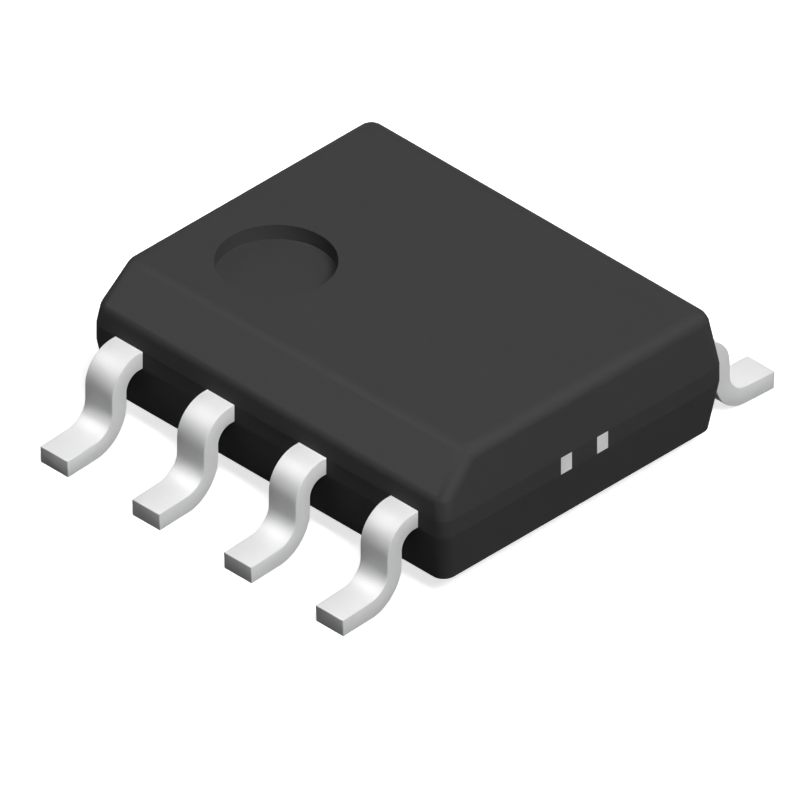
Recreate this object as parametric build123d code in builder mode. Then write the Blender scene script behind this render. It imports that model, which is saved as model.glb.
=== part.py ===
from build123d import *
import os
from math import radians, tan

os.makedirs("parts", exist_ok=True)

# Eight-lead small-outline chip package, in millimetres.
# X runs along the two lead rows and Y across the body. Z is up from the board.
# The origin is the centre of the body on the plane that the feet stand on.

# Moulded body, measured at the parting band
body_length = 4.90
body_width = 3.90
standoff = 0.235  # board to underside
lower_height = 0.559  # underside to the parting band
upper_height = 0.633  # parting band to top
draft_angle = 8.0  # walls lean in by this much, above and below the band
near_corner_radius = 0.16  # upright corners at the pin 1 end
far_corner_radius = 0.14  # upright corners at the other end
top_edge_radius = 0.145  # round the top face and the bevel
bevel_length = 0.345  # bevel along the pin 1 side, across the top
bevel_angle = 46.0  # fall of the bevel from the top face

# Round recess that marks pin 1
dimple_diameter = 1.215
dimple_depth = 0.175
dimple_floor_radius = 0.05
dimple_from_end = 1.195
dimple_from_side = 1.39

# Shallow round marks of the ejector pins, on the underside
ejector_diameter = 0.90
ejector_depth = 0.04
ejector_spacing = 2.60

# Stamped and formed leads
leads_per_side = 4
pitch = 1.27
lead_width = 0.38
lead_thickness = 0.20
lead_span = 5.96  # toe to toe
shank_span = 4.34  # between the inner faces of facing shanks
shoulder_inner_radius = 0.17
foot_inner_radius = 0.24
foot_angle = 3.2  # the toe is lower than the heel

# Wide head of each lead, locked inside the body
lead_grip = 0.55  # side of the body to the head's end
head_width = 0.64
head_length = 0.32
head_corner_radius = 0.07

# Paddle under the chip, and the tie bars that held it in the lead frame
paddle_length = 3.20
paddle_width = 2.30
paddle_corner_radius = 0.10
paddle_drop = 0.20  # below the plane of the leads
tie_width = 0.15
tie_spacing = 0.50
tie_bend_radius = 0.12
tie_flat = 0.22  # level stretch inside the end of the body
tie_slope = 0.24  # horizontal run of the slope down to the paddle
tie_root = 0.15  # length of each tie bar that runs into the paddle

# Silicon chip and the adhesive that holds it
die_length = 1.80
die_width = 1.50
die_thickness = 0.28
attach_thickness = 0.03
attach_margin = 0.08
attach_slope = 45.0  # the adhesive spreads outwards at its foot

# Bond wires, round on the real chip and cut here with eight flats
wire_diameter = 0.030
flats_per_wire = 8
ball_diameter = 0.080
ball_height = 0.020
loop_height = 0.15  # above the chip
loop_crown = 0.055  # the wire turns over within this height and this run
pad_pitch = 0.42  # between the wires' balls along the chip's edge
pad_inset = 0.12  # from the chip's edge
stitch_length = 0.10
stitch_width = 0.070
stitch_height = 0.045
stitch_tip_height = 0.014
stitch_heel = 0.025  # length of the stitch behind the end of the wire
wire_end_height = 0.018  # middle of the wire's end, above the lead
stitch_inset = 0.10  # from the end of the lead's head

# Levels worked out from the sizes above
band_bottom = standoff + lower_height
band_top = band_bottom + lead_thickness
body_top = band_top + upper_height
paddle_bottom = band_bottom - paddle_drop
paddle_top = paddle_bottom + lead_thickness
die_bottom = paddle_top + attach_thickness
die_top = die_bottom + die_thickness

# Places across the body, counted outwards from the centre plane
head_end = body_width / 2 - lead_grip
shank_inner = shank_span / 2
toe_end = lead_span / 2


def lead_place(number):
    """Row side (-1 for the pin 1 row, 1 for the other) and X of a lead, counted round the body."""
    if number <= leads_per_side:
        return -1, (number - (leads_per_side + 1) / 2) * pitch
    return 1, (3 * leads_per_side + 1) / 2 * pitch - number * pitch


lead_numbers = range(1, 2 * leads_per_side + 1)


# Leads: the underside line of the gull wing, thickened upwards
foot_rise = tan(radians(foot_angle))
foot_corner = (toe_end - shank_inner) * foot_rise

leads = []
for number in lead_numbers:
    side, lead_x = lead_place(number)
    lead_plane = Plane(origin=(lead_x, 0, 0), x_dir=(0, side, 0), z_dir=(side, 0, 0))
    with BuildPart() as lead:
        with BuildSketch(lead_plane):
            with BuildLine():
                FilletPolyline(
                    (head_end, band_bottom),
                    (shank_inner, band_bottom),
                    (shank_inner, foot_corner),
                    (toe_end, 0),
                    radius=[shoulder_inner_radius, foot_inner_radius + lead_thickness],
                )
                offset(amount=lead_thickness, side=Side.LEFT, closed=True)
            make_face()
        extrude(amount=lead_width / 2, both=True)
        with BuildSketch(Plane.XY.offset(band_bottom)):
            with Locations((lead_x, side * (head_end + head_length / 2))):
                Rectangle(head_width, head_length)
        extrude(amount=lead_thickness)
        head_corners = lead.edges().filter_by(Axis.Z).group_by(Axis.Y)[-1 if side < 0 else 0]
        fillet(head_corners, radius=head_corner_radius)
    lead.part.label = f"lead_{number}"
    export_step(lead.part, f"parts/lead_{number}.step")
    leads.append(lead.part)


# Paddle with a pair of cranked tie bars at each end
body_end = body_length / 2
tie_underside = [
    (paddle_length / 2 - tie_root, paddle_bottom),
    (body_end - tie_flat - tie_slope, paddle_bottom),
    (body_end - tie_flat, band_bottom),
    (body_end, band_bottom),
]
with BuildPart() as die_paddle:
    with BuildSketch(Plane.XY.offset(paddle_bottom)):
        RectangleRounded(paddle_length, paddle_width, paddle_corner_radius)
    extrude(amount=lead_thickness)
    for tie_y in (-tie_spacing / 2, tie_spacing / 2):
        with BuildSketch(Plane.XZ.offset(-tie_y)):
            with BuildLine():
                FilletPolyline(
                    *tie_underside, radius=[tie_bend_radius + lead_thickness, tie_bend_radius]
                )
                offset(amount=lead_thickness, side=Side.LEFT, closed=True)
            make_face()
            mirror(about=Plane.YZ)
        extrude(amount=tie_width / 2, both=True)
die_paddle.part.label = "die_paddle"
export_step(die_paddle.part, "parts/die_paddle.step")


# Adhesive under the chip, with a sloping edge
with BuildPart() as die_attach:
    with BuildSketch(Plane.XY.offset(paddle_top)):
        Rectangle(die_length + 2 * attach_margin, die_width + 2 * attach_margin)
    extrude(amount=attach_thickness, taper=attach_slope)
die_attach.part.label = "die_attach"
export_step(die_attach.part, "parts/die_attach.step")


# Silicon chip
with BuildPart() as die:
    with BuildSketch(Plane.XY.offset(die_bottom)):
        Rectangle(die_length, die_width)
    extrude(amount=die_thickness)
die.part.label = "die"
export_step(die.part, "parts/die.step")


# Bond wires: a ball on the chip, a loop, and a flattened stitch on the lead's head
loop_top = die_top + loop_height
stitch_y = head_end + stitch_inset

bond_wires = []
for number in lead_numbers:
    side, lead_x = lead_place(number)
    ball_place = Vector(lead_x / pitch * pad_pitch, side * (die_width / 2 - pad_inset), 0)
    stitch_place = Vector(lead_x, side * stitch_y, 0)
    run = stitch_place - ball_place
    heel = run.length - stitch_heel
    wire_plane = Plane(origin=ball_place, x_dir=run, z_dir=run.cross(Vector(0, 0, 1)))
    with BuildPart() as bond_wire:
        with BuildLine(wire_plane) as loop:
            Polyline(
                (0, die_top),
                (0, loop_top - loop_crown),
                (loop_crown, loop_top),
                (run.length, band_top + wire_end_height),
            )
        with BuildSketch(Plane(origin=ball_place + Vector(0, 0, die_top), x_dir=run)):
            RegularPolygon(wire_diameter / 2, flats_per_wire)
        sweep(path=loop.line, transition=Transition.RIGHT)
        with BuildSketch(Plane(origin=ball_place + Vector(0, 0, die_top), x_dir=run)):
            RegularPolygon(ball_diameter / 2, flats_per_wire)
        extrude(amount=ball_height)
        with BuildSketch(wire_plane):
            with BuildLine():
                Polyline(
                    (heel, band_top),
                    (heel, band_top + stitch_height),
                    (heel + stitch_length, band_top + stitch_tip_height),
                    (heel + stitch_length, band_top),
                    close=True,
                )
            make_face()
        extrude(amount=stitch_width / 2, both=True)
    bond_wire.part.label = f"bond_wire_{number}"
    export_step(bond_wire.part, f"parts/bond_wire_{number}.step")
    bond_wires.append(bond_wire.part)


# Moulded body: two drafted halves on a parting band as thick as the leads
wall_slope = tan(radians(draft_angle))
top_inset = upper_height * wall_slope
bottom_inset = lower_height * wall_slope


def outline(height, inset):
    """Plan of the body at a height, with its walls drawn in by an inset."""
    with BuildSketch(Plane.XY.offset(height)) as plan:
        Rectangle(body_length - 2 * inset, body_width - 2 * inset)
        fillet(plan.vertices().group_by(Axis.X)[0], radius=near_corner_radius)
        fillet(plan.vertices().group_by(Axis.X)[-1], radius=far_corner_radius)
    return plan.sketch


with BuildPart() as body:
    loft([outline(band_top, 0), outline(body_top, top_inset)], ruled=True)

    # Bevel along the pin 1 side
    bevel_start = -(body_width / 2 - top_inset) + bevel_length
    with BuildSketch(Plane.YZ):
        with BuildLine():
            Polyline(
                (bevel_start, body_top),
                (bevel_start - body_width, body_top - body_width * tan(radians(bevel_angle))),
                (bevel_start - body_width, body_top),
                close=True,
            )
        make_face()
    extrude(amount=body_length, both=True, mode=Mode.SUBTRACT)
    top_and_bevel = body.faces().sort_by(Axis.Z)[-2:]
    fillet(ShapeList(set(top_and_bevel.edges())), radius=top_edge_radius)

    # Parting band and lower half
    extrude(outline(band_bottom, 0), amount=lead_thickness)
    loft([outline(band_bottom, 0), outline(standoff, bottom_inset)], ruled=True)

    # Pin 1 dimple and the marks of the ejector pins
    with BuildSketch(Plane.XY.offset(body_top)):
        with Locations((dimple_from_end - body_length / 2, dimple_from_side - body_width / 2)):
            Circle(dimple_diameter / 2)
    extrude(amount=-dimple_depth, mode=Mode.SUBTRACT)
    dimple_floor = body.faces().filter_by(Plane.XY).sort_by(Axis.Z)[-2]
    fillet(dimple_floor.edges(), radius=dimple_floor_radius)
    with BuildSketch(Plane.XY.offset(standoff)):
        with GridLocations(ejector_spacing, 0, 2, 1):
            Circle(ejector_diameter / 2)
    extrude(amount=ejector_depth, mode=Mode.SUBTRACT)

    # The compound closes round everything that it holds
    add([*leads, die_paddle.part, die_attach.part, die.part, *bond_wires], mode=Mode.SUBTRACT)
body.part.label = "body"
export_step(body.part, "parts/body.step")
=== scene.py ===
from math import atan, atan2, cos, pi, radians, sin, tan

import bmesh
import bpy
from mathutils import Matrix, Vector


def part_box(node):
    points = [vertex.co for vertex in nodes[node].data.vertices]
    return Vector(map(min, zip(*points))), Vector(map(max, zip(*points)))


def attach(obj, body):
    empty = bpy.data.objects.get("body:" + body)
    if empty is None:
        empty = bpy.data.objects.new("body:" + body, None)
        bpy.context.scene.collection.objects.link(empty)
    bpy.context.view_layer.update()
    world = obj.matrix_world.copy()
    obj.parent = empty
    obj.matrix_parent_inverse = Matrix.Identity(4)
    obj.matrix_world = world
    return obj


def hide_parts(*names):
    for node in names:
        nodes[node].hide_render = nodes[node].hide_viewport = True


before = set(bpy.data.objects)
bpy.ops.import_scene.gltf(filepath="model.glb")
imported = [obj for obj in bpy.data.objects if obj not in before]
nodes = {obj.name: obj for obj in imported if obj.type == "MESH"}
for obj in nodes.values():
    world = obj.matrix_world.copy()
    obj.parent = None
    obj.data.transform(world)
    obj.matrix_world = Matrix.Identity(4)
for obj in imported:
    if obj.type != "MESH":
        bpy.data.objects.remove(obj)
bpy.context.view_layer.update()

mm = 0.001
rightAngle = pi / 2
leadNumbers = range(1, 1 + sum(name.startswith("lead_") for name in nodes))
scene = bpy.context.scene
print("frame loaded:", len(nodes), "nodes")


# Camera, in the isometric view of the photograph

cameraView = {
    "azimuth": 45.0,
    "elevation": 35.264,
    "imagePixels": 800,
    "pixelsPerMm": 102.2,
    "originPixel": (407.5, 425.2),  # where the origin of the frame lies in the photograph
    "distanceMm": 60.0,
    "clipMm": (1.0, 1000.0),
}


def makeCamera(v):
    a, e = radians(v["azimuth"]), radians(v["elevation"])
    back = Vector((sin(a) * cos(e), -cos(a) * cos(e), sin(e)))
    right = Vector((cos(a), sin(a), 0))
    up = back.cross(right)
    middle = v["imagePixels"] / 2
    shiftRight = (middle - v["originPixel"][0]) / v["pixelsPerMm"]
    shiftUp = (v["originPixel"][1] - middle) / v["pixelsPerMm"]
    camera = bpy.data.objects.new("camera", bpy.data.cameras.new("camera"))
    scene.collection.objects.link(camera)
    camera.data.type = "ORTHO"
    camera.data.ortho_scale = v["imagePixels"] / v["pixelsPerMm"] * mm
    camera.data.clip_start, camera.data.clip_end = (reach * mm for reach in v["clipMm"])
    camera.location = (right * shiftRight + up * shiftUp + back * v["distanceMm"]) * mm
    camera.rotation_mode = "QUATERNION"
    camera.rotation_quaternion = back.to_track_quat("Z", "Y")
    scene.camera = camera


makeCamera(cameraView)
print("camera placed")


# Materials

colourMix = {"share": 0, "first": 6, "second": 7, "result": 2}  # sockets of a Mix node set to colours
valueMix = {"share": 0, "first": 2, "second": 3, "result": 0}  # and of one set to plain values
firstValue, secondValue = 0, 1  # sockets of a Math node


def linear(code):  # sRGB hex colour to the linear values that a socket takes
    values = [int(code[i:i + 2], 16) / 255 for i in (0, 2, 4)]
    return (*[c / 12.92 if c <= 0.04045 else ((c + 0.055) / 1.055) ** 2.4 for c in values], 1.0)


def perMetre(sizeMm):  # texture scale for a pattern of this real size
    return 1 / (sizeMm * mm)


def addNode(tree, kind, values=None, sources=None, **settings):
    node = tree.nodes.new("ShaderNode" + kind)
    for name, value in settings.items():
        setattr(node, name, value)
    for name, value in (values or {}).items():
        node.inputs[name].default_value = value
    for name, source in (sources or {}).items():
        tree.links.new(source, node.inputs[name])
    return node


def newMaterial(name):
    material = bpy.data.materials.new(name)
    material.use_nodes = True
    material.node_tree.nodes.clear()
    return material, material.node_tree


mouldedEpoxy = {
    "dark": "3D3D3D",
    "light": "3F3F3F",
    "mottleMm": 0.9,
    "mottleDetail": 3.0,
    "grainMm": 0.045,  # coarser than the real grain, so that it shows
    "grainDetail": 4.0,
    "grainContrast": 0.6,
    "grainDepthMm": 0.0012,
    "roughLow": 0.60,
    "roughHigh": 0.68,
    "specular": 0.005,
}


def mouldedEpoxyMaterial(v):
    # Black epoxy moulded in a spark-eroded steel tool: dull, nearly even, with a very fine grain
    material, tree = newMaterial("moulded_black_epoxy")
    place = addNode(tree, "TexCoord").outputs["Object"]
    mottle = addNode(tree, "TexNoise", {"Scale": perMetre(v["mottleMm"]), "Detail": v["mottleDetail"]},
                     {"Vector": place})
    colour = addNode(tree, "ValToRGB", sources={"Fac": mottle.outputs["Fac"]})
    colour.color_ramp.elements[0].color = linear(v["dark"])
    colour.color_ramp.elements[1].color = linear(v["light"])
    grain = addNode(tree, "TexNoise", {
        "Scale": perMetre(v["grainMm"]), "Detail": v["grainDetail"], "Roughness": v["grainContrast"]},
        {"Vector": place})
    rough = addNode(tree, "MapRange", {"To Min": v["roughLow"], "To Max": v["roughHigh"]},
                    {"Value": grain.outputs["Fac"]})
    bump = addNode(tree, "Bump", {"Strength": 1.0, "Distance": v["grainDepthMm"] * mm},
                   {"Height": grain.outputs["Fac"]})
    shader = addNode(tree, "BsdfPrincipled", {"Specular IOR Level": v["specular"]},
                     {"Base Color": colour.outputs["Color"], "Roughness": rough.outputs["Result"],
                      "Normal": bump.outputs["Normal"]})
    addNode(tree, "OutputMaterial", sources={"Surface": shader.outputs[0]})
    return material


matteTin = {
    "dark": "E4E4E4",
    "light": "EAEAEA",
    "specular": 0.048,
    "crystalMm": 0.02,  # coarser than the real crystals, so that they show
    "crystalDepthMm": 0.0006,
    "cloudMm": 0.35,
    "cloudDetail": 4.0,
    "roughLow": 0.52,
    "roughHigh": 0.64,
}


def matteTinMaterial(v):
    # Matte tin plated on formed copper alloy: pale grey crystals scatter most light and leave a soft
    # sheen on the bends
    material, tree = newMaterial("matte_tin_plate")
    place = addNode(tree, "TexCoord").outputs["Object"]
    cloud = addNode(tree, "TexNoise", {"Scale": perMetre(v["cloudMm"]), "Detail": v["cloudDetail"]},
                    {"Vector": place})
    colour = addNode(tree, "ValToRGB", sources={"Fac": cloud.outputs["Fac"]})
    colour.color_ramp.elements[0].color = linear(v["dark"])
    colour.color_ramp.elements[1].color = linear(v["light"])
    crystals = addNode(tree, "TexVoronoi", {"Scale": perMetre(v["crystalMm"])}, {"Vector": place})
    rough = addNode(tree, "MapRange", {"To Min": v["roughLow"], "To Max": v["roughHigh"]},
                    {"Value": crystals.outputs["Distance"]})
    bump = addNode(tree, "Bump", {"Strength": 1.0, "Distance": v["crystalDepthMm"] * mm},
                   {"Height": crystals.outputs["Distance"]})
    shader = addNode(tree, "BsdfPrincipled", {"Specular IOR Level": v["specular"]},
                     {"Base Color": colour.outputs["Color"], "Roughness": rough.outputs["Result"],
                      "Normal": bump.outputs["Normal"]})
    addNode(tree, "OutputMaterial", sources={"Surface": shader.outputs[0]})
    return material


drawnGold = {
    "dark": "DFA94A",
    "light": "F2C869",
    "lineMm": 0.004,
    "lineDepthMm": 0.0001,
    "roughLow": 0.20,
    "roughHigh": 0.32,
}


def drawnGoldMaterial(v):
    # Gold wire drawn through diamond dies: bright yellow metal, softened by very fine drawing marks
    material, tree = newMaterial("drawn_gold_wire")
    place = addNode(tree, "TexCoord").outputs["Object"]
    lines = addNode(tree, "TexNoise", {"Scale": perMetre(v["lineMm"]), "Detail": 2.0}, {"Vector": place})
    colour = addNode(tree, "ValToRGB", sources={"Fac": lines.outputs["Fac"]})
    colour.color_ramp.elements[0].color = linear(v["dark"])
    colour.color_ramp.elements[1].color = linear(v["light"])
    rough = addNode(tree, "MapRange", {"To Min": v["roughLow"], "To Max": v["roughHigh"]},
                    {"Value": lines.outputs["Fac"]})
    bump = addNode(tree, "Bump", {"Strength": 1.0, "Distance": v["lineDepthMm"] * mm},
                   {"Height": lines.outputs["Fac"]})
    shader = addNode(tree, "BsdfPrincipled", {"Metallic": 1.0},
                     {"Base Color": colour.outputs["Color"], "Roughness": rough.outputs["Result"],
                      "Normal": bump.outputs["Normal"]})
    addNode(tree, "OutputMaterial", sources={"Surface": shader.outputs[0]})
    return material


polishedSilicon = {
    "darkBlock": "3D434C",
    "lightBlock": "5A6470",
    "street": "2B3038",
    "blockMm": 0.30,  # width of a circuit block
    "blockShape": 0.55,  # its depth as a share of its width
    "streetShare": 0.03,
    "evenRowWidth": 0.62,  # blocks of every second row, as a share of the others' width
    "roughBlock": 0.28,
    "roughStreet": 0.12,
    "sawn": "484C52",
    "roughSawn": 0.55,
    "circuitDepthMm": 0.004,
    "sawLineMm": 0.005,
    "sawLineDepthMm": 0.0004,
    "ior": 3.8,
}


def polishedSiliconMaterial(v, faceHeight):
    # Polished wafer with its circuit blocks, cut out by a saw: the face is dark blue-grey and glossy with
    # faint square areas, and the sides are duller, with fine level saw lines
    material, tree = newMaterial("polished_silicon")
    place = addNode(tree, "TexCoord").outputs["Object"]
    blocks = addNode(tree, "TexBrick", {
        "Color1": linear(v["darkBlock"]), "Color2": linear(v["lightBlock"]), "Mortar": linear(v["street"]),
        "Scale": perMetre(v["blockMm"]), "Mortar Size": v["streetShare"],
        "Brick Width": 1.0, "Row Height": v["blockShape"]}, {"Vector": place},
        offset=0.0, squash=v["evenRowWidth"], squash_frequency=2)
    faceRough = addNode(tree, "MapRange", {"To Min": v["roughBlock"], "To Max": v["roughStreet"]},
                        {"Value": blocks.outputs["Fac"]})
    height = addNode(tree, "SeparateXYZ", sources={"Vector": place}).outputs["Z"]
    circuitFoot = faceHeight - v["circuitDepthMm"] * mm
    onFace = addNode(tree, "Math", {secondValue: circuitFoot}, {firstValue: height},
                     operation="GREATER_THAN").outputs[0]
    colour = addNode(tree, "Mix", {colourMix["first"]: linear(v["sawn"])},
                     {colourMix["share"]: onFace, colourMix["second"]: blocks.outputs["Color"]},
                     data_type="RGBA")
    rough = addNode(tree, "Mix", {valueMix["first"]: v["roughSawn"]},
                    {valueMix["share"]: onFace, valueMix["second"]: faceRough.outputs["Result"]})
    lines = addNode(tree, "TexNoise", {"Scale": perMetre(v["sawLineMm"])}, {"W": height},
                    noise_dimensions="1D")
    bump = addNode(tree, "Bump", {"Distance": v["sawLineDepthMm"] * mm}, {"Height": lines.outputs["Fac"]})
    shader = addNode(tree, "BsdfPrincipled", {"IOR": v["ior"]},
                     {"Base Color": colour.outputs[colourMix["result"]],
                      "Roughness": rough.outputs[valueMix["result"]], "Normal": bump.outputs["Normal"]})
    addNode(tree, "OutputMaterial", sources={"Surface": shader.outputs[0]})
    return material


silverAdhesive = {
    "resin": "8C8B86",
    "flake": "C4C3BE",
    "flakeMm": 0.012,
    "flakeDepthMm": 0.002,
    "metallic": 0.4,
    "roughLow": 0.42,
    "roughHigh": 0.62,
}


def silverAdhesiveMaterial(v):
    # Epoxy paste full of silver flakes, dispensed and cured: grey and grainy, with a dull metal glint
    material, tree = newMaterial("silver_filled_adhesive")
    place = addNode(tree, "TexCoord").outputs["Object"]
    flakes = addNode(tree, "TexVoronoi", {"Scale": perMetre(v["flakeMm"])}, {"Vector": place})
    shade = addNode(tree, "SeparateColor", sources={"Color": flakes.outputs["Color"]})
    colour = addNode(tree, "ValToRGB", sources={"Fac": shade.outputs["Red"]})
    colour.color_ramp.elements[0].color = linear(v["resin"])
    colour.color_ramp.elements[1].color = linear(v["flake"])
    rough = addNode(tree, "MapRange", {"To Min": v["roughLow"], "To Max": v["roughHigh"]},
                    {"Value": shade.outputs["Green"]})
    bump = addNode(tree, "Bump", {"Strength": 1.0, "Distance": v["flakeDepthMm"] * mm},
                   {"Height": flakes.outputs["Distance"]})
    shader = addNode(tree, "BsdfPrincipled", {"Metallic": v["metallic"]},
                     {"Base Color": colour.outputs["Color"], "Roughness": rough.outputs["Result"],
                      "Normal": bump.outputs["Normal"]})
    addNode(tree, "OutputMaterial", sources={"Surface": shader.outputs[0]})
    return material


epoxyBlack = mouldedEpoxyMaterial(mouldedEpoxy)
tinPlate = matteTinMaterial(matteTin)
goldWire = drawnGoldMaterial(drawnGold)
silicon = polishedSiliconMaterial(polishedSilicon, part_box("die")[1].z)
adhesive = silverAdhesiveMaterial(silverAdhesive)
print("materials made")


# Pieces are modelled in millimetres and scaled to metres when they are finished

sharpAngle = radians(35)  # shading breaks at a corner as sharp as this
squareAngle = radians(60)  # a strip's own corners are sharper than this, and the steps of its bends aren't
sameLevel = 1e-4
samePlace = 1e-5
facing = 0.999  # share of a direction that lies along an axis, when it points that way
leaning = 0.9  # and when it leans a little


def markSharp(mesh, levels):
    # smooth shading that breaks at corners and along the edges that lie at these levels
    bm = bmesh.new()
    bm.from_mesh(mesh)
    for face in bm.faces:
        face.smooth = True
        face.material_index = 0
    for edge in bm.edges:
        heights = [vert.co.z / mm for vert in edge.verts]
        onLevel = any(all(abs(z - level) < sameLevel for z in heights) for level in levels)
        edge.smooth = edge.calc_face_angle(0) < sharpAngle and not onLevel
    bm.to_mesh(mesh)
    bm.free()


def finishPiece(name, bm, material, replaced, cutters=(), sharpLevels=()):
    bmesh.ops.recalc_face_normals(bm, faces=bm.faces)
    mesh = bpy.data.meshes.new(name)
    bm.to_mesh(mesh)
    bm.free()
    mesh.transform(Matrix.Scale(mm, 4))
    if cutters:
        mesh = carved(mesh, cutters)
    markSharp(mesh, sharpLevels)
    mesh.materials.clear()
    mesh.materials.append(material)
    piece = bpy.data.objects.new(name, mesh)
    scene.collection.objects.link(piece)
    even = piece.modifiers.new("evenShading", "WEIGHTED_NORMAL")
    even.keep_sharp = True
    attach(piece, "root")
    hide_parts(replaced)
    return piece


def withModifiers(work, helpers=()):
    # the mesh that an object's modifiers make; the object and its helpers are removed
    bpy.context.view_layer.update()
    evaluated = work.evaluated_get(bpy.context.evaluated_depsgraph_get())
    result = bpy.data.meshes.new_from_object(evaluated)
    for spare in [work, *helpers]:
        spareMesh = spare.data
        bpy.data.objects.remove(spare)
        bpy.data.meshes.remove(spareMesh)
    return result


def closedCopy(source):
    # a joined-up copy of a piece, fit to cut with
    bm = bmesh.new()
    bm.from_mesh(source.data)
    bmesh.ops.remove_doubles(bm, verts=bm.verts, dist=samePlace * mm)
    bmesh.ops.recalc_face_normals(bm, faces=bm.faces)
    mesh = bpy.data.meshes.new("cutter")
    bm.to_mesh(mesh)
    bm.free()
    cutter = bpy.data.objects.new("cutter", mesh)
    scene.collection.objects.link(cutter)
    return cutter


def carved(mesh, sources):
    # the mesh with a close pocket round each source
    work = bpy.data.objects.new("carveWork", mesh)
    scene.collection.objects.link(work)
    cutters = [closedCopy(source) for source in sources]
    for cutter in cutters:
        pocket = work.modifiers.new("pocket", "BOOLEAN")
        pocket.operation = "DIFFERENCE"
        pocket.solver = "EXACT"
        pocket.object = cutter
    return withModifiers(work, cutters)


def withBevels(bm, width, segments):
    # edge weights set on bm become round edges of their own width
    mesh = bpy.data.meshes.new("bevelWork")
    bm.to_mesh(mesh)
    bm.free()
    work = bpy.data.objects.new("bevelWork", mesh)
    scene.collection.objects.link(work)
    bevel = work.modifiers.new("bevel", "BEVEL")
    bevel.affect = "EDGES"
    bevel.limit_method = "WEIGHT"
    bevel.width = width
    bevel.segments = segments
    bevel.profile = 0.5
    bevel.use_clamp_overlap = False
    result = withModifiers(work)
    rounded = bmesh.new()
    rounded.from_mesh(result)
    bpy.data.meshes.remove(result)
    return rounded


def faceVerts(faces):
    return list({vert for f in faces for vert in f.verts})


def region(faces):
    # the faces with their edges and corners, so that an extrusion leaves none behind
    return list(faces) + list({e for f in faces for e in f.edges}) + faceVerts(faces)


def wholeMesh(bm):
    return [*bm.verts, *bm.edges, *bm.faces]


def boxInMm(name):
    return (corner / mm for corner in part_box(name))


def pull(bm, faces, vec):
    made = bmesh.ops.extrude_face_region(bm, geom=region(faces))["geom"]
    ends = [g for g in made if isinstance(g, bmesh.types.BMFace)]
    bmesh.ops.translate(bm, verts=faceVerts(ends), vec=vec)
    return ends


# Moulded body

bodyShape = {
    "draft": 8.0,
    "bandHeight": 0.20,
    "nearCornerRadius": 0.16,
    "farCornerRadius": 0.14,
    "topEdgeRadius": 0.145,
    "bevelLength": 0.345,
    "bevelAngle": 46.0,
    "dimpleDiameter": 1.215,
    "dimpleDepth": 0.175,
    "dimpleFloorRadius": 0.005,
    "dimpleFromEnd": 1.195,
    "dimpleFromSide": 1.39,
    "markDiameter": 0.90,
    "markDepth": 0.04,
    "markSpacing": 2.60,
    "rimRadius": 0.004,
    "roundSteps": 14,
    "rimSteps": 4,
    "circleSteps": 72,
}


def sinkRound(bm, centre, z, diameter, depth, floorRadius, rimRadius, inward, v):
    # A round recess below a flat face at height z: rolled rim, straight wall, rounded floor.
    # inward is -1 for a recess in the top and 1 for one in the underside. Returns the rim's edges.
    ring = bmesh.ops.create_circle(bm, segments=v["circleSteps"], radius=diameter / 2 + rimRadius,
                                   matrix=Matrix.Translation((*centre, z)))["verts"]
    rim = list({e for vert in ring for e in vert.link_edges})
    wall = diameter / 2
    quarter = [step / v["rimSteps"] * rightAngle for step in range(1, v["rimSteps"] + 1)]
    profile = [(wall + rimRadius * (1 - sin(a)), rimRadius * (1 - cos(a))) for a in quarter]
    profile += [(wall, depth - floorRadius)]
    profile += [(wall - floorRadius * (1 - cos(a)), depth - floorRadius * (1 - sin(a))) for a in quarter]
    edges, radius, level = rim, wall + rimRadius, 0.0
    for nextRadius, nextLevel in profile:
        made = bmesh.ops.extrude_edge_only(bm, edges=edges)["geom"]
        verts = [g for g in made if isinstance(g, bmesh.types.BMVert)]
        edges = [g for g in made if isinstance(g, bmesh.types.BMEdge)]
        bmesh.ops.translate(bm, verts=verts, vec=(0, 0, inward * (nextLevel - level)))
        bmesh.ops.scale(bm, verts=verts, vec=(nextRadius / radius, nextRadius / radius, 1),
                        space=Matrix.Translation((-centre[0], -centre[1], 0)))
        radius, level = nextRadius, nextLevel
    bmesh.ops.edgeloop_fill(bm, edges=edges)
    return rim


def openFace(bm, face):
    # takes a flat face away and returns the edges round the gap
    edges = list(face.edges)
    bmesh.ops.delete(bm, geom=[face], context="FACES_ONLY")
    return edges


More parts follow.
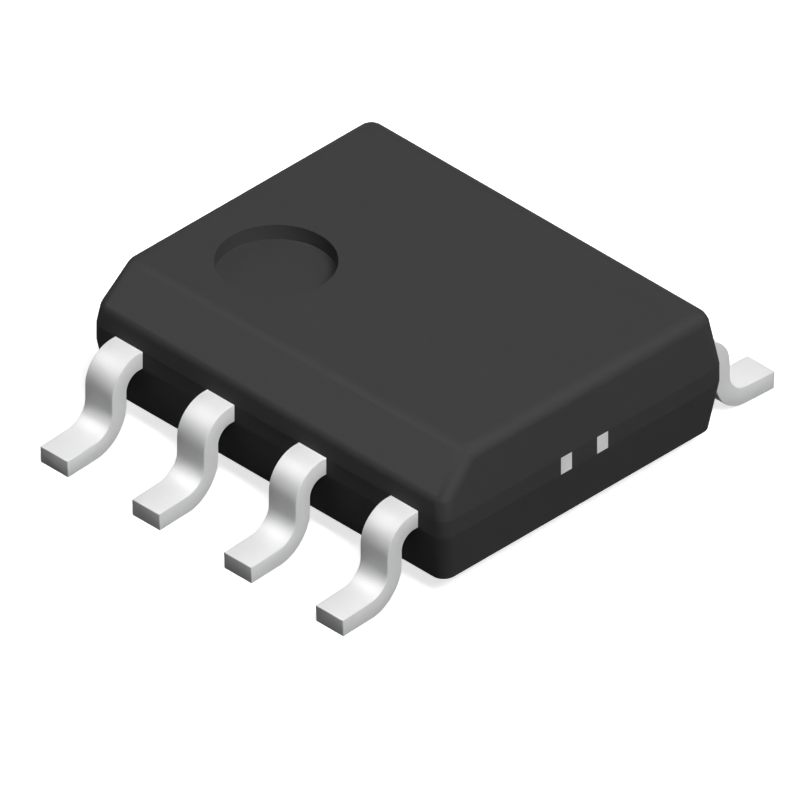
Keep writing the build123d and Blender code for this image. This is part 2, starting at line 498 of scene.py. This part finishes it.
def makeBody(v, held):
    low, high = boxInMm("body")
    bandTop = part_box("die_paddle")[1].z / mm  # the tie bars' ends lie in the band
    bandBottom = bandTop - v["bandHeight"]
    length, width = high.x - low.x, high.y - low.y
    slope = tan(radians(v["draft"]))
    bm = bmesh.new()
    bmesh.ops.create_cube(bm, size=1)
    bmesh.ops.scale(bm, verts=bm.verts, vec=(length, width, v["bandHeight"]))
    bmesh.ops.translate(bm, verts=bm.verts, vec=(0, 0, (bandTop + bandBottom) / 2))
    for way, reach in ((1, high.z - bandTop), (-1, bandBottom - low.z)):
        bm.faces.ensure_lookup_table()
        end = max(bm.faces, key=lambda f: way * f.calc_center_median().z)
        verts = faceVerts(pull(bm, [end], (0, 0, way * reach)))
        inset = reach * slope
        bmesh.ops.scale(bm, verts=verts, vec=(1 - 2 * inset / length, 1 - 2 * inset / width, 1))

    # bevel along the pin 1 side
    fall = radians(v["bevelAngle"])
    bevelStart = -(width / 2 - (high.z - bandTop) * slope) + v["bevelLength"]
    bevelNormal = Vector((0, -sin(fall), cos(fall)))
    cut = bmesh.ops.bisect_plane(bm, geom=wholeMesh(bm), dist=samePlace, clear_outer=True,
                                 plane_co=(0, bevelStart, high.z), plane_no=bevelNormal)["geom_cut"]
    bmesh.ops.edgeloop_fill(bm, edges=[g for g in cut if isinstance(g, bmesh.types.BMEdge)])
    bmesh.ops.recalc_face_normals(bm, faces=bm.faces)

    # rounded edges, each with its own reach on the two faces beside it
    weight = bm.edges.layers.float.new("bevel_weight_edge")
    widest = max(v["nearCornerRadius"], v["farCornerRadius"])
    for edge in bm.edges:
        first, second = (vert.co for vert in edge.verts)
        normals = [f.normal for f in edge.link_faces]
        if any(n.z > cos(fall) - samePlace for n in normals):  # beside the top or the bevel
            reach = v["topEdgeRadius"] * tan(normals[0].angle(normals[1]) / 2)
        elif abs((first - second).normalized().z) > leaning:
            reach = v["nearCornerRadius"] if first.x < 0 else v["farCornerRadius"]
        else:
            continue
        edge[weight] = reach / widest
    bm = withBevels(bm, widest, v["roundSteps"])

    # the pin 1 dimple in the top, and the ejector pin marks underneath
    bm.faces.ensure_lookup_table()
    top = max((f for f in bm.faces if f.normal.z > facing), key=lambda f: f.calc_area())
    under = max((f for f in bm.faces if f.normal.z < -facing), key=lambda f: f.calc_area())
    topGap = openFace(bm, top)
    underGap = openFace(bm, under)
    dimple = (v["dimpleFromEnd"] - length / 2, v["dimpleFromSide"] - width / 2)
    rim = sinkRound(bm, dimple, high.z, v["dimpleDiameter"], v["dimpleDepth"], v["dimpleFloorRadius"],
                    v["rimRadius"], -1, v)
    bmesh.ops.triangle_fill(bm, edges=topGap + rim, use_beauty=True)
    for x in (-v["markSpacing"] / 2, v["markSpacing"] / 2):
        underGap += sinkRound(bm, (x, 0), low.z, v["markDiameter"], v["markDepth"], v["rimRadius"],
                              v["rimRadius"], 1, v)
    bmesh.ops.triangle_fill(bm, edges=underGap, use_beauty=True)
    bmesh.ops.remove_doubles(bm, verts=bm.verts, dist=samePlace)
    flatLevels = (low.z, bandBottom, bandTop, high.z)
    return finishPiece("moulded_body", bm, epoxyBlack, "body", held, flatLevels)


# Formed leads

leadShape = {
    "gripLength": 0.55,
    "headLength": 0.32,
    "headCornerRadius": 0.07,
    "shankSpan": 4.34,
    "toeSpan": 5.96,
    "shoulderInnerRadius": 0.17,
    "footInnerRadius": 0.24,
    "footAngle": 3.2,
    "width": 0.38,
    "thickness": 0.20,
    "edgeRadius": 0.008,
    "headCornerSteps": 6,
    "edgeSteps": 3,
    "bendSteps": 18,
}


def leadPlace(number):
    # a lead's box, the side of the body it is on (-1 is the pin 1 side) and the middle of its width
    low, high = boxInMm(f"lead_{number}")
    return low, high, -1 if low.y + high.y < 0 else 1, (low.x + high.x) / 2


def bend(bm, faces, centre, angle, steps):
    made = bmesh.ops.spin(bm, geom=region(faces), cent=centre, axis=(1, 0, 0), angle=angle,
                          steps=steps)["geom_last"]
    return [g for g in made if isinstance(g, bmesh.types.BMFace)]


def makeLead(number, v):
    low, high, side, x = leadPlace(number)
    upper = high.z
    lower = upper - v["thickness"]
    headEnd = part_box("body")[1].y / mm - v["gripLength"]
    headOuter = headEnd + v["headLength"]
    shank, toe = v["shankSpan"] / 2, v["toeSpan"] / 2
    tilt = radians(v["footAngle"])
    footCorner = (toe - shank) * tan(tilt)
    footOuterRadius = v["footInnerRadius"] + v["thickness"]
    footTurn = rightAngle - tilt
    tangent = footOuterRadius * tan(footTurn / 2)

    # modelled on the pin 1 side, with the strip running towards -Y
    bm = bmesh.new()
    bmesh.ops.create_cube(bm, size=1)
    bmesh.ops.scale(bm, verts=bm.verts, vec=(high.x - low.x, v["headLength"], v["thickness"]))
    bmesh.ops.translate(bm, verts=bm.verts, vec=(0, -(headEnd + headOuter) / 2, (upper + lower) / 2))
    corners = [e for e in bm.edges if all(abs(vert.co.y + headEnd) < sameLevel for vert in e.verts)
               and abs(e.verts[0].co.x - e.verts[1].co.x) < sameLevel]
    bmesh.ops.bevel(bm, geom=corners, offset=v["headCornerRadius"], segments=v["headCornerSteps"],
                    profile=0.5, affect="EDGES", material=-1)
    for edgeX in (-v["width"] / 2, v["width"] / 2):
        bmesh.ops.bisect_plane(bm, geom=wholeMesh(bm), dist=samePlace, plane_co=(edgeX, 0, 0),
                               plane_no=(1, 0, 0))
    strip = [f for f in bm.faces if f.normal.y < -leaning and abs(f.calc_center_median().x) < sameLevel]
    strip = pull(bm, strip, (0, -(shank - v["shoulderInnerRadius"] - headOuter), 0))
    strip = bend(bm, strip, (0, -(shank - v["shoulderInnerRadius"]), lower - v["shoulderInnerRadius"]),
                 rightAngle, v["bendSteps"])
    footStart = footCorner + tangent
    strip = pull(bm, strip, (0, 0, footStart - (lower - v["shoulderInnerRadius"])))
    strip = bend(bm, strip, (0, -(shank + footOuterRadius), footStart), -footTurn, v["bendSteps"])
    straight = (toe - shank) / cos(tilt) - tangent
    pull(bm, strip, (0, -straight * cos(tilt), -straight * sin(tilt)))

    # edges rounded by the stamping and the plating
    bmesh.ops.recalc_face_normals(bm, faces=bm.faces)
    outside = [e for e in bm.edges if e.calc_face_angle(0) > squareAngle
               and all(-vert.co.y > headOuter - sameLevel for vert in e.verts)
               and any(-vert.co.y > headOuter + sameLevel for vert in e.verts)]
    bmesh.ops.bevel(bm, geom=outside, offset=v["edgeRadius"], segments=v["edgeSteps"], profile=0.5,
                    affect="EDGES", material=-1)
    turn = Matrix.Rotation(pi, 4, "Z") if side > 0 else Matrix.Identity(4)
    bmesh.ops.transform(bm, verts=bm.verts, matrix=Matrix.Translation((x, 0, 0)) @ turn)
    return finishPiece(f"formed_lead_{number}", bm, tinPlate, f"lead_{number}")


for number in leadNumbers:
    makeLead(number, leadShape)
print("leads made")

held = [nodes[name] for name in nodes if name != "body"]
makeBody(bodyShape, held)
print("body closed round", len(held), "pieces")


# Bond wires, sealed in the body: a ball on the chip, a smooth loop and a flattened stitch on the lead

wireShape = {
    "diameter": 0.030,
    "ballDiameter": 0.080,
    "ballHeight": 0.020,
    "ballProfile": [(0.90, 0.0), (1.0, 0.3), (1.0, 0.7), (0.86, 1.0)],  # shares of its radius and height
    "neckHeight": 0.034,
    "loopHeight": 0.15,
    "crown": 0.055,  # the line of the loop starts this far out, at the loop's height
    "turnRadius": 0.070,
    "padSpacing": 0.42,
    "padInset": 0.12,
    "stitchInset": 0.10,
    "stitchHeel": 0.025,
    "stitchLength": 0.10,
    "stitchWidth": 0.070,
    "stitchThickness": 0.020,
    "tipWidth": 0.056,
    "tipThickness": 0.012,
    "endHeight": 0.018,
    "aroundSteps": 20,
    "turnSteps": 12,
}


def nextRing(bm, edges, matrix):
    # carries an open end on to its next place and size
    made = bmesh.ops.extrude_edge_only(bm, edges=edges)["geom"]
    bmesh.ops.transform(bm, verts=[g for g in made if isinstance(g, bmesh.types.BMVert)], matrix=matrix)
    return [g for g in made if isinstance(g, bmesh.types.BMEdge)]


def sized(centre, newCentre, wide=1.0, thick=1.0, turn=0.0):
    # moves a ring's centre, turns it about Y and changes its width and thickness
    size = Matrix.Diagonal((1.0, wide, thick, 1.0))
    turned = size @ Matrix.Rotation(turn, 4, "Y")
    return Matrix.Translation(newCentre) @ turned @ Matrix.Translation(-Vector(centre))


def makeWire(number, v):
    leadLow, leadHigh, side, x = leadPlace(number)
    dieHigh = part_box("die")[1] / mm
    pitch = (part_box("lead_2")[0].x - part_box("lead_1")[0].x) / mm
    headEnd = min(abs(leadLow.y), abs(leadHigh.y))
    leadTop = leadHigh.z
    ball = Vector((x / pitch * v["padSpacing"], side * (dieHigh.y - v["padInset"]), 0))
    stitch = Vector((x, side * (headEnd + v["stitchInset"]), 0))
    run = (stitch - ball).length
    radius = v["diameter"] / 2

    # modelled along +X from the ball, then turned towards its lead
    bm = bmesh.new()
    rings = [(r * v["ballDiameter"] / 2, z * v["ballHeight"]) for r, z in v["ballProfile"]]
    rings += [(radius, v["neckHeight"])]
    ring = bmesh.ops.create_circle(bm, cap_ends=True, segments=v["aroundSteps"], radius=rings[0][0],
                                   matrix=Matrix.Translation((0, 0, dieHigh.z)))["verts"]
    edges = list({e for vert in ring for e in vert.link_edges})
    for (r, z), (nextR, nextZ) in zip(rings, rings[1:]):
        grow = Matrix.Diagonal((nextR / r, nextR / r, 1.0, 1.0))
        edges = nextRing(bm, edges, Matrix.Translation((0, 0, nextZ - z)) @ grow)

    loopTop = dieHigh.z + v["loopHeight"]
    endHeight = leadTop + v["endHeight"]
    fall = (loopTop - endHeight) / (run - v["crown"])
    turn = rightAngle + atan(fall)
    turnEnd = v["turnRadius"] * (1 - cos(turn))
    turnEndHeight = loopTop - fall * (turnEnd - v["crown"])
    turnStart = turnEndHeight - v["turnRadius"] * sin(turn)
    edges = nextRing(bm, edges, Matrix.Translation((0, 0, turnStart - dieHigh.z - v["neckHeight"])))
    ends = list({vert for e in edges for vert in e.verts})
    bent = bmesh.ops.spin(bm, geom=edges + ends, cent=(v["turnRadius"], 0, turnStart), axis=(0, 1, 0),
                          angle=turn, steps=v["turnSteps"])["geom_last"]
    edges = [g for g in bent if isinstance(g, bmesh.types.BMEdge)]
    heel = run - v["stitchHeel"]
    heelHeight = loopTop - fall * (heel - v["crown"])
    edges = nextRing(bm, edges, Matrix.Translation((heel - turnEnd, 0, heelHeight - turnEndHeight)))

    tip = heel + v["stitchLength"]
    pressed = [(run, v["stitchWidth"], v["stitchThickness"]),
               ((run + tip) / 2, v["stitchWidth"], v["tipThickness"]),
               (tip, v["tipWidth"], v["tipThickness"])]
    centre, wide, thick, upright = (heel, 0, heelHeight), v["diameter"], v["diameter"], rightAngle - turn
    for along, nextWide, nextThick in pressed:
        nextCentre = (along, 0, leadTop + nextThick / 2)
        edges = nextRing(bm, edges, sized(centre, nextCentre, nextWide / wide, nextThick / thick, upright))
        centre, wide, thick, upright = nextCentre, nextWide, nextThick, 0.0
    bmesh.ops.edgeloop_fill(bm, edges=edges)
    heading = Matrix.Rotation(atan2(stitch.y - ball.y, stitch.x - ball.x), 4, "Z")
    bmesh.ops.transform(bm, verts=bm.verts, matrix=Matrix.Translation(ball) @ heading)
    return finishPiece(f"looped_wire_{number}", bm, goldWire, f"bond_wire_{number}")


for number in leadNumbers:
    makeWire(number, wireShape)
print("bond wires made")


# Sealed pieces that keep their CAD shape

for name, material in (("die_paddle", tinPlate), ("die_attach", adhesive), ("die", silicon)):
    nodes[name].data.materials.clear()
    nodes[name].data.materials.append(material)
print("sealed pieces finished")


# Studio: a soft key lamp, a weak fill from behind, a dim room and a pale floor

studio = {
    "lamps": {  # direction of each lamp from the part, its strength and its spread in degrees
        "key": ((0.542, -0.092, 0.835), 3.18, 36.0),
        "rearFill": ((-0.66, 0.72, 0.12), 0.9, 40.0),
    },
    "reflectedLamps": {  # seen in reflections only, for the soft shine on bends and rounded edges
        "bendShine": ((-0.577, -0.45, 0.68), 86.0, 38.0),
        "edgeShine": ((0.49, 0.58, 0.65), 33.0, 25.0),
        "cornerShine": ((0.75, -0.39, 0.54), 65.0, 25.0),
    },
    "roomLight": 0.017,
    "floorColour": "F4F4F4",
    "floorBounce": "222222",  # what the shaded sides of the part receive from the floor
    "floorGlow": 0.75,  # lifts the lit floor to white in the camera and keeps a faint shadow
    "floorSizeMm": 400.0,
}


def makeLamp(name, source, strength, spread):
    lamp = bpy.data.objects.new(name, bpy.data.lights.new(name, "SUN"))
    lamp.data.energy = strength
    lamp.data.angle = radians(spread)
    lamp.rotation_mode = "QUATERNION"
    lamp.rotation_quaternion = Vector(source).to_track_quat("Z", "Y")
    scene.collection.objects.link(lamp)
    return lamp


def seenDirectly(tree):
    # 1 for what the camera sees, also in a reflection or through glass, and 0 for light on the part
    path = addNode(tree, "LightPath").outputs
    either = addNode(tree, "Math", operation="MAXIMUM",
                     sources={firstValue: path["Is Camera Ray"], secondValue: path["Is Glossy Ray"]})
    seen = addNode(tree, "Math", operation="MAXIMUM",
                   sources={firstValue: either.outputs[0], secondValue: path["Is Transmission Ray"]})
    return seen.outputs[0]


def makeStudio(v):
    for name, (source, strength, spread) in v["lamps"].items():
        makeLamp(name, source, strength, spread)
    for name, (source, strength, spread) in v["reflectedLamps"].items():
        makeLamp(name, source, strength, spread).visible_diffuse = False

    world = bpy.data.worlds.new("room")
    world.use_nodes = True
    tree = world.node_tree
    tree.nodes.clear()
    strength = addNode(tree, "MapRange", {"To Min": v["roomLight"], "To Max": 1.0},
                       {"Value": seenDirectly(tree)})
    room = addNode(tree, "Background", {"Color": (1, 1, 1, 1)}, {"Strength": strength.outputs["Result"]})
    addNode(tree, "OutputWorld", sources={"Surface": room.outputs[0]})
    scene.world = world

    material, tree = newMaterial("painted_floor")
    seen = seenDirectly(tree)
    colours = {colourMix["first"]: linear(v["floorBounce"]), colourMix["second"]: linear(v["floorColour"])}
    colour = addNode(tree, "Mix", colours, {colourMix["share"]: seen}, data_type="RGBA")
    glow = addNode(tree, "Math", {secondValue: v["floorGlow"]}, {firstValue: seen}, operation="MULTIPLY")
    paint = addNode(tree, "BsdfDiffuse", sources={"Color": colour.outputs[colourMix["result"]]})
    light = addNode(tree, "Emission", sources={"Strength": glow.outputs[0]})
    both = addNode(tree, "AddShader", sources={0: paint.outputs[0], 1: light.outputs[0]})
    addNode(tree, "OutputMaterial", sources={"Surface": both.outputs[0]})
    bm = bmesh.new()
    bmesh.ops.create_grid(bm, x_segments=1, y_segments=1, size=v["floorSizeMm"] / 2 * mm)
    mesh = bpy.data.meshes.new("floor")
    bm.to_mesh(mesh)
    bm.free()
    mesh.materials.append(material)
    floor = bpy.data.objects.new("floor", mesh)
    scene.collection.objects.link(floor)


makeStudio(studio)
scene.view_settings.view_transform = "Standard"
print("studio made")
